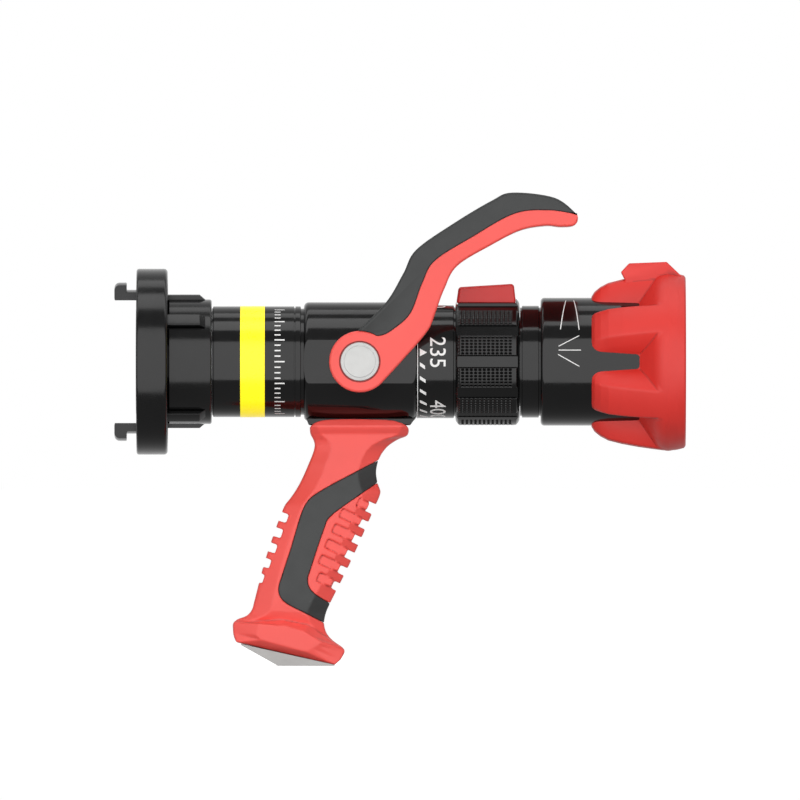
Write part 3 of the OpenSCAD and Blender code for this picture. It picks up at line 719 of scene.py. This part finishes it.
def bumper():
    """Six-toothed rubber bumper with a raised pointer on top."""
    x0, x1, _ = ends("bumper")
    columns = 600
    xs = np.concatenate([np.linspace(x0, x0 + 6, 24, endpoint=False),
                         np.linspace(x0 + 6, x1 - 1.5, 90, endpoint=False),
                         np.linspace(x1 - 1.5, x1, 7)])[:, None]
    angles = np.arange(columns)[None, :] * 360 / columns
    outside = on_barrel(xs, bumper_surface(xs, angles), angles)
    inner = rounded([(x1, 43.8, 0.8), (x1, 36, 0.6), (293.5, 33, 0.5), (290, 32, 0.4), (288.05, 32),
                     (288.05, 33.4), (x0 + 0.4, 33.4)])
    inside = on_barrel(inner[:, 0:1], inner[:, 1:2], angles)
    body = grid_object("bumper", np.concatenate([outside, inside]))
    pointer_line = rounded([(262.6, 42), (262.6, 44.1), (260.5, 48.2, 0.8), (264.9, 52.9, 1.0),
                            (285.1, 53.7, 1.0), (293.2, 46), (290, 42)])
    pointer = prism("pointer", pointer_line, -9.5, 9.5)
    combine(body, bevelled(pointer, 1.2, 4), "UNION")
    piece(shaded(body, 40), "twist_sleeve", "bumper_red", BUMPER_RED, "bumper")


# -------- lever

lever_front = smooth([[131.9, -11.5], [141.4, -1.2], [151.2, 9.8], [155.3, 14.8], [158.2, 19.2],
                      [160.9, 26.6], [165.5, 39], [172.5, 51.6], [190.8, 62.8], [206.2, 70.5],
                      [219.6, 73], [228, 72.4], [234.4, 72.9], [236.8, 74.8], [237.3, 77.4]])
lever_seam = smooth([[119.8, 14.5], [131.1, 13.9], [139.5, 18.4], [147.6, 26.5], [153.7, 42.2],
                     [160.5, 54.2], [180.5, 66.9], [203.1, 79.4], [221.7, 81.3], [236.9, 79]], 16)
lever_back = smooth([[118.7, 16.4], [134.2, 31.9], [143.4, 47.3], [150.3, 60], [170.2, 74.1],
                     [190.8, 86.4], [202.1, 90.8], [224.8, 88], [236.9, 79]])
HUB_R = 16.5
CAP_R = 10.4
ARM_Y, ARM_END_Y = 30.2, 38.2
SEAM_GAP = np.array([-0.2, 0.22])


def seam_softness(outline):
    """Edge radius at each point: full away from the seam, and a fine break along it."""
    away = [np.hypot(lever_seam[:, 0] - x, lever_seam[:, 1] - z).min() for x, z in outline]
    return 0.45 + 1.15 * smoothstep(np.array(away), 0.3, 3)


def bail(name, outline):
    """A lever outline as two arms and a crossbar."""
    return opened(soft_prism(name, outline, -ARM_END_Y, ARM_END_Y, seam_softness(outline)))


def opened(whole):
    """Cuts the room between the lever's two arms."""
    gap = rounded([(100, -ARM_Y), (202, -ARM_Y, 8), (202, ARM_Y, 8), (100, ARM_Y)], 10)
    n = len(gap)
    points = [[x, y, z] for z in (-40, 120) for x, y in gap]
    sides = [[i, (i + 1) % n, n + (i + 1) % n, n + i] for i in range(n)]
    cutter = new_object("gap", points, [list(range(n)), list(range(n, 2 * n))] + sides)
    return combine(whole, cutter)


def frame_outline():
    """The red frame: along its front, back along the seam, and round the hub."""
    seam = lever_seam[np.hypot(*(lever_seam - PIVOT).T) > HUB_R]
    start, end = [math.atan2(*(line[0] - PIVOT)[::-1]) for line in (seam, lever_front)]
    turn = np.linspace(start, end + math.tau, 92)[1:-1]
    arc = PIVOT + HUB_R * np.stack([np.cos(turn), np.sin(turn)], axis=1)
    return np.concatenate([lever_front, seam[::-1], arc])


def on_both_arms(inner, outer):
    """The spans of y between two distances from the middle, one on each side."""
    return (-outer, -inner), (inner, outer)


def lever():
    """Red frame with a pocket and a bore at its hubs, and the soft strip along its back."""
    red = bail("lever_frame", frame_outline())
    for y0, y1 in on_both_arms(ARM_END_Y - 2.2, ARM_END_Y + 1):
        combine(red, disc("pocket", PIVOT, CAP_R + 0.8, y0, y1))
    combine(red, disc("bore", PIVOT, 7.05, -50, 50))
    piece(shaded(red, 25), "lever", "red_plastic", RED, "lever_frame")
    outline = np.concatenate([lever_seam + SEAM_GAP, lever_back[::-1]])
    grey = bail("lever_pad", outline)
    tongue_y = ARM_END_Y - 0.8
    tongue = np.concatenate([lever_seam + 1.2 * SEAM_GAP, lever_seam[::-1] - 0.3 * SEAM_GAP])
    combine(grey, opened(prism("tongue", tongue, -tongue_y, tongue_y)), "UNION")
    for y0, y1 in on_both_arms(ARM_Y - 1, ARM_END_Y + 1):
        combine(grey, disc("hub", PIVOT, HUB_R + 0.2, y0, y1))
    piece(shaded(grey, 25), "lever", "soft_grey", SOFT_GREY, "lever_pad")


def lever_caps():
    """Domed cover discs on the pivot, with a fine raised ring."""
    y0, y1 = ARM_END_Y - 2.15, ARM_END_Y + 0.6
    profile = rounded([(y0, 0.02), (y0, CAP_R, 0.3), (y1 - 0.4, CAP_R, 0.5), (y1 - 0.2, 9.2, 0.3),
                       (y1 - 0.3, 8.9, 0.2), (y1 - 0.3, 8.6, 0.2), (y1 - 0.1, 8.3, 0.3), (y1, 0.02)])
    angles = np.radians(np.linspace(0, 360, 128, endpoint=False))[None, :]
    radius, y = profile[:, 1:2], profile[:, 0:1]
    for name, side in (("lever_cap_near", -1), ("lever_cap_far", 1)):
        points = np.stack([PIVOT[0] + radius * np.cos(angles), side * y + 0 * angles,
                           PIVOT[1] + radius * np.sin(angles)], axis=-1)
        cap = grid_object(name, points)
        replaced = ["lever_caps"] if side == -1 else []
        piece(shaded(cap, 30), "lever", "cap_silver", CAP, *replaced)


# -------- grip

# Front edge, rear edge, half width and corner cut at stations down the grip
grip_stations = [
    ((146.4, -29.4), (93.2, -29.4), 12.6, 4), ((146.5, -34.7), (93.1, -34.7), 15.9, 4),
    ((146.2, -38.6), (93.5, -38.8), 13.3, 5.5), ((144.6, -40.3), (94.4, -40.6), 13.1, 6.5),
    ((140.5, -41.9), (95.2, -42.2), 13.1, 8), ((135.6, -45.1), (95.8, -44.8), 13.2, 9),
    ((132.7, -48.3), (95.3, -47.8), 13.4, 9.5), ((130.8, -51.5), (94.1, -51.2), 13.7, 9.5),
    ((129.6, -54.8), (92.6, -54.8), 14, 9.5), ((128.9, -59), (90.7, -59.3), 14.3, 10),
    ((129.2, -62.8), (88.9, -63.2), 14.6, 10), ((130, -66.3), (86.9, -67), 14.9, 10),
    ((131.2, -69.6), (84.7, -70.6), 15.2, 10), ((130.6, -72.6), (82.4, -73.8), 15.4, 10),
    ((128.7, -76.9), (79.4, -77.9), 15.6, 10), ((125.2, -85.1), (75.6, -87.5), 15.8, 10),
    ((118.8, -99.6), (70.7, -101.7), 15.9, 10), ((113.4, -111.3), (67.3, -113.1), 15.8, 10),
    ((107.5, -123.1), (64.9, -122.6), 15.6, 10), ((103.8, -130.6), (63.2, -129.3), 15.3, 10),
    ((101.8, -135.5), (62, -133.4), 14.8, 10), ((100.9, -140.3), (59.2, -136.6), 13, 8),
    ((101.4, -143.9), (54.2, -138.6), 11, 6), ((102.8, -146.9), (51.9, -140.9), 10, 5),
    ((105.7, -150), (51.8, -143.8), 9, 5), ((110.7, -153.6), (52.1, -147), 8.5, 5),
    ((112, -155.6), (53, -149.7), 8.5, 5), ((111.2, -157.9), (54, -150.9), 8.5, 5),
    ((109.3, -160.5), (55, -151.3), 8.5, 5), ((106.6, -163), (56.2, -151.6), 8.5, 5)]


def grip_body(name, inset=0.0, rows=340):
    """The grip as sections from its rear edge to its front edge, each a box with cut corners."""
    stations = np.arange(len(grip_stations))
    at = np.linspace(0, stations[-1], rows)
    lines = []
    for curve in ([s[0] for s in grip_stations], [s[1] for s in grip_stations]):
        fine = smooth(curve, 8)
        lines.append(np.stack([np.interp(at * 8, np.arange(len(fine)), fine[:, k])
                               for k in (0, 1)], axis=1))
    half = np.interp(at, stations, [s[2] for s in grip_stations]) - inset
    corner = np.interp(at, stations, [s[3] for s in grip_stations])
    grid = []
    for front, rear, w, c in zip(lines[0], lines[1], half, corner):
        along = front - rear
        length = np.linalg.norm(along)
        along = along / length
        lo, hi = inset, length - inset
        back, fore = 0.55 * c, 0.8 * c
        section = rounded([
            (lo, -w + back, 2.5), (lo + c, -w, 2.5), (hi - c, -w, 2.5), (hi, -w + fore, 2.5),
            (hi, w - fore, 2.5), (hi - c, w, 2.5), (lo + c, w, 2.5), (lo, w - back, 2.5)], 5)
        grid.append([[rear[0] + u * along[0], v, rear[1] + u * along[1]] for u, v in section])
    return skinned(name, grid)


insert_outer = smooth([(133, -51.6), (121.7, -57.4), (104.4, -66.5), (95.4, -72), (91.6, -75.8),
                       (89.2, -80.5), (87.1, -86.9), (83.2, -100.3), (78.2, -115.5), (76.5, -121.5),
                       (77.4, -126.4), (81.5, -130.4), (90.9, -135.2), (106, -143)], 6)
insert_inner = smooth([(107, -132.2), (102.9, -129.4), (96.5, -125.4), (93, -121.6), (92, -117),
                       (93.2, -112.5), (96.7, -101.5), (101.4, -87.9), (103, -84.6), (106, -81.6),
                       (112, -77.1), (124.5, -68.4), (135, -61.3)], 6)


def insert_room(name, grow):
    """Room for the soft insert: its outline across the grip, down to a core left in the shell."""
    outline = grown(np.concatenate([insert_outer, insert_inner]), grow)
    room = prism(name, outline, -30, 30)
    return combine(room, grip_body("core", 2.4 - 0.2 * bool(grow), 160))


def cut_notches(shell, start, lean, pitch, side, widths, depths, tails):
    """Cuts notches down one edge of the grip, and the shallow tails that they leave on its sides."""
    a = math.radians(lean)
    down = np.array([-math.sin(a), -math.cos(a)])
    inward = np.array([-side * math.cos(a), side * math.sin(a)])
    room, outside, side_y = max(widths), 4, 13.7
    for i, (width, depth, tail) in enumerate(zip(widths, depths, tails)):
        end = np.array(start) + down * (pitch * i + room)
        at = end - down * width / 2 + inward * (depth - outside) / 2
        combine(shell, block("notch", (at[0], 0, at[1]), (depth + outside, 60, width), lean))
        centre = end - down * room / 2
        at = centre + inward * (tail - outside) / 2
        for y in (-1, 1):
            place = (at[0], y * (side_y + 5), at[1])
            combine(shell, bevelled(block("tail", place, (tail + outside, 10, room), lean), 0.8, 2))
            if tail > 9:
                at_pad = centre + inward * (tail / 2 + 1.2)
                pad = block("pad", (at_pad[0], y * (side_y - 1), at_pad[1]),
                            (tail - 4, 4, room - 1.6), lean)
                combine(shell, bevelled(pad, 0.3, 1), "UNION")


def foot():
    """Faceted foot: a flat facet on each side within a rim that is set back."""
    facet = [(64.8, -147.2), (66, -140.6), (79.7, -141.9), (90, -145), (99.4, -150.7),
             (97, -152.6), (94, -154.2), (90.7, -155.8), (67.4, -149.6)]
    rim = [(51.9, -145.5, 9.5), (52.2, -140, 9.5), (79.7, -138.5, 12), (92, -141.5, 12),
           (110.6, -153.7, 9), (112, -155.6, 9), (110, -160, 10), (106.6, -163, 11.5),
           (53.6, -150.7, 11.5)]
    points = [(x, -16.9, z) for x, z in facet] + [(x, -y, z) for x, z, y in rim]
    points += [(x, y, z) for x, z, y in rim] + [(x, 16.9, z) for x, z in facet]
    n = len(rim)
    sides = [[r * n + i, r * n + (i + 1) % n, (r + 1) * n + (i + 1) % n, (r + 1) * n + i]
             for r in range(3) for i in range(n)]
    return new_object("foot", points, [list(range(n)), list(range(3 * n, 4 * n))] + sides)


def grip():
    """Red shell with teeth on both edges and a soft grey insert that wraps round its front."""
    shell = grip_body("grip_shell")
    combine(shell, foot(), "UNION")
    combine(shell, block("foot_cut", (77.4, 0, -166.7), (80, 60, 20), 12.99))
    cut_notches(shell, (128.6, -76.7), 25, 9.1, 1, [5.6] + [4.4] * 5,
                (5.2, 4.4, 4.1, 3.7, 3.3, 2.7), (9.5, 15.5, 15.5, 15.5, 15, 12))
    cut_notches(shell, (78.4, -81), 18.2, 8.7, -1, [4.9] * 5,
                (3.7, 3.4, 3.1, 2.5, 1.6), (4, 3.6, 3.3, 2.8, 2))
    saddle = np.concatenate([smooth([
        (93, -36.4), (93.4, -35), (95.4, -33.2), (98.6, -31.9), (104, -31.1), (116.5, -30.8),
        (134.5, -31.3), (140.5, -32.3), (145.2, -34.4), (146.7, -37)], 4), [(150, -37), (150, -20),
                                                                            (90, -20), (90, -36.4)]])
    combine(shell, prism("saddle", saddle, -30, 30))
    combine(shell, block("boss_pocket", (120, 0, -31), (60, 18.2, 6.6)))
    combine(shell, insert_room("room", 0.14))
    remeshed(shell, 0.57, 2)
    piece(shaded(shell, 60), "nozzle", "red_plastic", RED, "grip_shell")
    soft = grip_body("grip_insert", 0.05)
    combine(soft, insert_room("room", 0), "INTERSECT")
    remeshed(soft, 0.45, 2)
    piece(shaded(soft, 60), "nozzle", "soft_grey", SOFT_GREY, "grip_insert")


def foot_plate():
    """Pale wedge under the foot."""
    outline = rounded([(54.5, -151.4, 0.3), (106.7, -163.0, 0.2), (106.3, -163.5, 0.2),
                       (76, -163.5, 1.2)])
    plate = bevelled(prism("grip_end_cap", outline, -14.6, 14.6), 0.5, 3, 20)
    piece(shaded(plate, 20), "nozzle", "foot_grey", FOOT, "grip_end_cap")


# -------- printed marks


INK_HALF = 0.03     # half of the ink's thickness, in millimetres


def wrapped_mark(obj, x, angle, radius, body):
    """Wraps a flat mark round the barrel. Its own +X runs down the near side, its +Y along the flow."""
    def bend(b):
        bmesh.ops.remove_doubles(b, verts=b.verts, dist=1e-7)
        low = min(v.co.x for v in b.verts)
        high = max(v.co.x for v in b.verts)
        cuts = int((high - low) / 0.7)
        for i in range(1, cuts + 1):
            everything = b.verts[:] + b.edges[:] + b.faces[:]
            place = (low + (high - low) * i / (cuts + 1), 0, 0)
            bmesh.ops.bisect_plane(b, geom=everything, plane_co=place, plane_no=(1, 0, 0))
        for v in b.verts:
            turn = math.radians(angle) - v.co.x / radius
            r = radius + v.co.z
            v.co = Vector(((x + v.co.y) * MM, -r * math.cos(turn) * MM, r * math.sin(turn) * MM))
        bmesh.ops.recalc_face_normals(b, faces=b.faces)
    edit(obj, bend)
    return piece(obj, body, None, INK)


def number(name, text, height, width, x, angle, radius, body):
    """A printed number of a cap height, squeezed to a width, centred on an angle."""
    curve = bpy.data.curves.new(name, "FONT")
    curve.body = text
    curve.extrude = INK_HALF
    curve.align_x = "CENTER"
    curve.resolution_u = 4
    letters = placed(name, curve)
    seen = letters.evaluated_get(bpy.context.evaluated_depsgraph_get())
    mesh = bpy.data.meshes.new_from_object(seen)
    bpy.data.objects.remove(letters)
    obj = placed(name, mesh)
    co = np.array([v.co for v in mesh.vertices])
    low, high = co.min(0), co.max(0)
    for v in mesh.vertices:
        v.co.x = ((v.co.x - low[0]) / (high[0] - low[0]) - 0.5) * width
        v.co.y = (v.co.y - low[1]) / (high[1] - low[1]) * height
    return wrapped_mark(obj, x, angle, radius, body)


def shapes_mark(name, shapes, x, angle, radius, body):
    """Flat printed polygons of (along the turn, along the flow) points, in millimetres."""
    points, faces = [], []
    for shape in shapes:
        n, first = len(shape), len(points)
        points += [[u / MM, v / MM, z / MM] for z in (-INK_HALF, INK_HALF)
                   for u, v in shape]
        faces += [list(range(first, first + n)), list(range(first + n, first + 2 * n))[::-1]]
        faces += [[first + i, first + (i + 1) % n, first + n + (i + 1) % n, first + n + i]
                  for i in range(n)]
    return wrapped_mark(new_object(name, points, faces), x, angle, radius, body)


def stroke(u0, v0, u1, v1, width):
    """A straight printed line from one point to another."""
    along = np.array([u1 - u0, v1 - v0], float)
    across = np.array([-along[1], along[0]]) / np.linalg.norm(along) * width / 2
    a, b = np.array([u0, v0]), np.array([u1, v1])
    return [a - across, b - across, b + across, a + across]


def scale_marks():
    """Flow settings, and an arrow whose hatched tail grows towards the highest one."""
    _, _, r = ends("flow_scale_ring")
    settings = (("60", 166, 10.5), ("130", 88, 16), ("235", 10, 16.5), ("400", -62, 20))
    for text, angle, width in settings:
        number("setting_" + text, text, 8.5, width, 157.8, angle, r, "nozzle")
    degree = math.radians(1) * r
    hatches = []
    for arrow in (0, 180):
        start = -arrow * degree
        hatches.append([(start - 2.1, 0), (start, 3.8), (start + 2.1, 0)])
        for i in range(6):
            top, reach = start + (10 + 14 * i) * degree, 2.75 + 0.3 * i
            hatches.append([(top, 0), (top + 1.9, 0), (top + 1.9 + 0.7 * reach, reach),
                            (top + 0.7 * reach, reach)])
    shapes_mark("flow_arrow", hatches, 152.4, 9.4, r, "nozzle")
    inner, outer = r - INK_HALF, r + INK_HALF
    line = turned("scale_line", rounded([(151, inner), (151, outer), (151.35, outer), (151.35, inner)]))
    piece(line, "nozzle", None, INK)


def tube_marks():
    """A plain graduated row on the inlet tube."""
    _, _, r = ends("inlet_tube")
    ticks = []
    for i in range(25):
        length = 5.4 if i % 4 == 0 else 3.2
        ticks.append(stroke(3.0 * (i - 12), 0, 3.0 * (i - 12), length, 0.75))
    for name, angle in (("tube_scale_near", 0), ("tube_scale_far", 180)):
        shapes_mark(name, ticks, 74.3, angle, r, "nozzle")


def spray_marks():
    """The two spray symbols on the sleeve: a narrow jet and a wide one."""
    _, _, r = ends("pattern_sleeve")
    start = 220

    def line(x0, angle0, x1, angle1):
        u0, u1 = -math.radians(angle0) * r, -math.radians(angle1) * r
        return stroke(u0, x0 - start, u1, x1 - start, 0.45)
    wide = [line(226.9, 13.9, 238, 24), line(226.9, 10.4, 238.9, 10.4), line(226.6, 6.5, 238, -4.2)]
    narrow = [line(231, 73.6, 227.9, 30.2), line(235.1, 73.6, 237.9, 30.2)]
    shapes_mark("spray_symbols", wide + narrow, start, 0, r, "twist_sleeve")


# -------- carried-over CAD nodes


def dress_cad_nodes():
    """Materials for the CAD nodes, which stand where no finer piece does."""
    finishes = {
        "coupling_tail": ALLOY, "stem_guide": ALLOY, "baffle": ALLOY, "outlet_barrel": BLACK,
        "stream_shaper": BLACK, "coupling_seal": SEAL, "inlet_seal": SEAL, "stem_seals": SEAL,
        "barrel_seal": SEAL, "shaper_seal": SEAL, "inlet_seat": CREAM, "outlet_seat": CREAM,
        "spinning_teeth": TEETH_BLACK, "stem_bushes": BRASS, "guide_bush": BRASS}
    for name, node in nodes.items():
        node.data.materials.clear()
        node.data.materials.append(finishes.get(name, STEEL))


# -------- studio


def softbox(name, place, towards, size, radiance):
    """A large soft lamp that the camera doesn't see. radiance 1 shows as white in a mirror."""
    lamp = bpy.data.lights.new(name, "AREA")
    lamp.shape = "RECTANGLE"
    lamp.size, lamp.size_y = size
    lamp.energy = radiance * math.pi * size[0] * size[1]
    obj = placed(name, lamp)
    obj.location = place
    aim = Vector(towards) - Vector(place)
    obj.rotation_euler = aim.to_track_quat("-Z", "Y").to_euler()
    obj.visible_camera = False
    return obj


def surroundings():
    """A white background, and for the lighting a dim room that brightens behind the object."""
    world = bpy.data.worlds.new("studio")
    world.use_nodes = True
    bpy.context.scene.world = world
    tree = world.node_tree
    background = tree.nodes["Background"]
    direction = add_node(tree, "ShaderNodeSeparateXYZ")
    heading = add_node(tree, "ShaderNodeTexCoord")
    tree.links.new(heading.outputs["Generated"], direction.inputs[0])
    behind = add_node(tree, "ShaderNodeMath", operation="MAXIMUM")
    behind.inputs[1].default_value = 0
    tree.links.new(direction.outputs["Y"], behind.inputs[0])
    cube = add_node(tree, "ShaderNodeMath", operation="POWER")
    cube.inputs[1].default_value = 3
    tree.links.new(behind.outputs[0], cube.inputs[0])
    room = add_node(tree, "ShaderNodeMapRange")
    room.inputs["To Min"].default_value = 0.27
    room.inputs["To Max"].default_value = 0.9
    tree.links.new(cube.outputs[0], room.inputs["Value"])
    seen = add_node(tree, "ShaderNodeMix")
    seen.inputs["B"].default_value = 1
    ray = add_node(tree, "ShaderNodeLightPath")
    tree.links.new(ray.outputs["Is Camera Ray"], seen.inputs["Factor"])
    tree.links.new(room.outputs["Result"], seen.inputs["A"])
    tree.links.new(seen.outputs["Result"], background.inputs["Strength"])
    background.inputs["Color"].default_value = (1, 1, 1, 1)


def studio():
    """A large panel in front, two long softboxes overhead and a plain pale floor."""
    bpy.context.scene.view_settings.view_transform = "Standard"
    surroundings()
    x, reach = 0.14, 1.2
    softbox("front_panel", (x, -reach, 0.07), (x, 0, 0.07), (4.0, 2.02), 1.38)
    softbox("overhead_near", (x, -0.22, reach), (x, -0.22, 0), (2.6, 0.53), 1.65)
    softbox("overhead_far", (x, 0.50, reach), (x, 0.50, 0), (2.6, 0.39), 1.0)
    floor_z, far = cad_box[0].z - 0.0002, 40
    mesh = bpy.data.meshes.new("floor")
    mesh.from_pydata([(-far, -far, floor_z), (far, -far, floor_z), (far, far, floor_z),
                      (-far, far, floor_z)], [], [[0, 1, 2, 3]])
    floor = placed("floor", mesh)
    pale = Recipe("pale_floor", (0.9, 0.9, 0.9), 0.9, Specular_IOR_Level=0.0)
    pale.shader.inputs["Emission Color"].default_value = (1, 1, 1, 1)
    pale.shader.inputs["Emission Strength"].default_value = 0.72
    pale.mottled(400, 0.01)
    floor.data.materials.append(pale.material)
    floor.visible_glossy = False
    floor.visible_diffuse = False


def camera():
    """Level with the barrel and square to it, from so far away that it looks almost flat."""
    distance, frame_width = 20, 0.4304
    data = bpy.data.cameras.new("camera")
    data.sensor_width = 36
    data.lens = data.sensor_width * distance / frame_width
    data.clip_end = 200
    obj = placed("camera", data)
    obj.location = (0.1417, -distance, -0.0206)
    obj.rotation_euler = (math.radians(90), 0, 0)
    bpy.context.scene.camera = obj


camera()
dress_cad_nodes()
lug_ring()
ring_hub()
inlet_tube()
valve_body()
scale_ring()
front_barrel()
flow_ring()
flow_tab()
pattern_sleeve()
bumper()
lever()
lever_caps()
grip()
foot_plate()
scale_marks()
tube_marks()
spray_marks()
studio()
